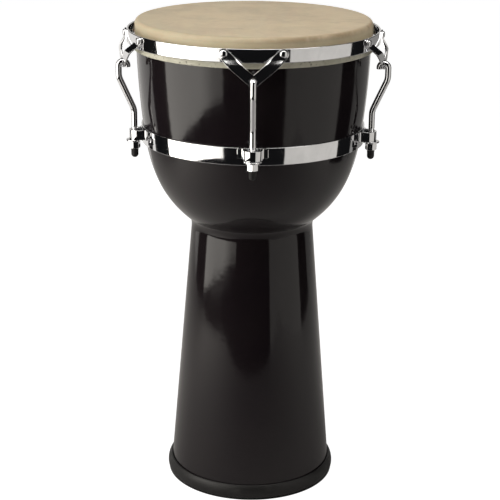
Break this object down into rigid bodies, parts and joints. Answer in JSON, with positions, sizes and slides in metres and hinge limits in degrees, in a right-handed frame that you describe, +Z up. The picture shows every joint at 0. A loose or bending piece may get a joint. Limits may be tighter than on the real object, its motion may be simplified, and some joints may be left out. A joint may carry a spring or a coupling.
{
  "type": "djembe",
  "caption": "Mechanically tuned goblet drum with a natural hide head, chromed tension hoop, J-hook tuning rods and a rubber foot ring.",
  "frame": {"origin": "centre of the foot ring's bottom, on the shell's axis, where the drum stands on the floor", "axes": "+Z up along the shell's axis, towards the head; -Y towards the first lug, which faces the player's front"},
  "size_m": [0.3562, 0.3548, 0.646],
  "materials": {
    "black_lacquer": "high gloss lacquer over fibreglass",
    "natural_hide": "matt natural hide",
    "lapped_hide": "matt lapped hide",
    "chrome": "polished",
    "rubber": "matt moulded rubber"
  },
  "bodies": {
    "root": {"shell": "black_lacquer", "foot_ring": "rubber", "belly_band": "chrome", "drum_skin": "natural_hide", "lug_strap_1": "chrome", "lug_strap_2": "chrome", "lug_strap_3": "chrome", "lug_strap_4": "chrome", "lug_strap_5": "chrome", "lug_washer_1": "chrome", "lug_washer_2": "chrome", "lug_washer_3": "chrome", "lug_washer_4": "chrome", "lug_washer_5": "chrome"},
    "rim": {"tension_hoop": "chrome", "flesh_hoop": "lapped_hide", "side_plate_1": "chrome", "plate_rivet_1a": "chrome", "plate_rivet_1b": "chrome", "tuning_rod_1": "chrome", "rod_cap_1": "rubber", "side_plate_2": "chrome", "plate_rivet_2a": "chrome", "plate_rivet_2b": "chrome", "tuning_rod_2": "chrome", "rod_cap_2": "rubber", "side_plate_3": "chrome", "plate_rivet_3a": "chrome", "plate_rivet_3b": "chrome", "tuning_rod_3": "chrome", "rod_cap_3": "rubber", "side_plate_4": "chrome", "plate_rivet_4a": "chrome", "plate_rivet_4b": "chrome", "tuning_rod_4": "chrome", "rod_cap_4": "rubber", "side_plate_5": "chrome", "plate_rivet_5a": "chrome", "plate_rivet_5b": "chrome", "tuning_rod_5": "chrome", "rod_cap_5": "rubber"},
    "nut_1": {"tuning_nut_1": "chrome"},
    "nut_2": {"tuning_nut_2": "chrome"},
    "nut_3": {"tuning_nut_3": "chrome"},
    "nut_4": {"tuning_nut_4": "chrome"},
    "nut_5": {"tuning_nut_5": "chrome"}
  },
  "joints": [
    {"name": "rim_tension", "type": "slide", "parent": "root", "child": "rim", "axis": [0, 0, -1], "range_m": [0, 0.008]},
    {"name": "nut_turn_1", "type": "hinge", "parent": "root", "child": "nut_1", "pos_m": [0, -0.1637, 0.486], "axis": [0, 0, 1], "range_deg": [0, 2310]},
    {"name": "nut_turn_2", "type": "hinge", "parent": "root", "child": "nut_2", "pos_m": [0.15569, -0.05059, 0.486], "axis": [0, 0, 1], "range_deg": [0, 2310]},
    {"name": "nut_turn_3", "type": "hinge", "parent": "root", "child": "nut_3", "pos_m": [0.09622, 0.13244, 0.486], "axis": [0, 0, 1], "range_deg": [0, 2310]},
    {"name": "nut_turn_4", "type": "hinge", "parent": "root", "child": "nut_4", "pos_m": [-0.09622, 0.13244, 0.486], "axis": [0, 0, 1], "range_deg": [0, 2310]},
    {"name": "nut_turn_5", "type": "hinge", "parent": "root", "child": "nut_5", "pos_m": [-0.15569, -0.05059, 0.486], "axis": [0, 0, 1], "range_deg": [0, 2310]}
  ],
  "couplings": [
    {"joint": "nut_turn_1", "follows": "rim_tension", "rad_per_m": 5026.5},
    {"joint": "nut_turn_2", "follows": "rim_tension", "rad_per_m": 5026.5},
    {"joint": "nut_turn_3", "follows": "rim_tension", "rad_per_m": 5026.5},
    {"joint": "nut_turn_4", "follows": "rim_tension", "rad_per_m": 5026.5},
    {"joint": "nut_turn_5", "follows": "rim_tension", "rad_per_m": 5026.5}
  ]
}
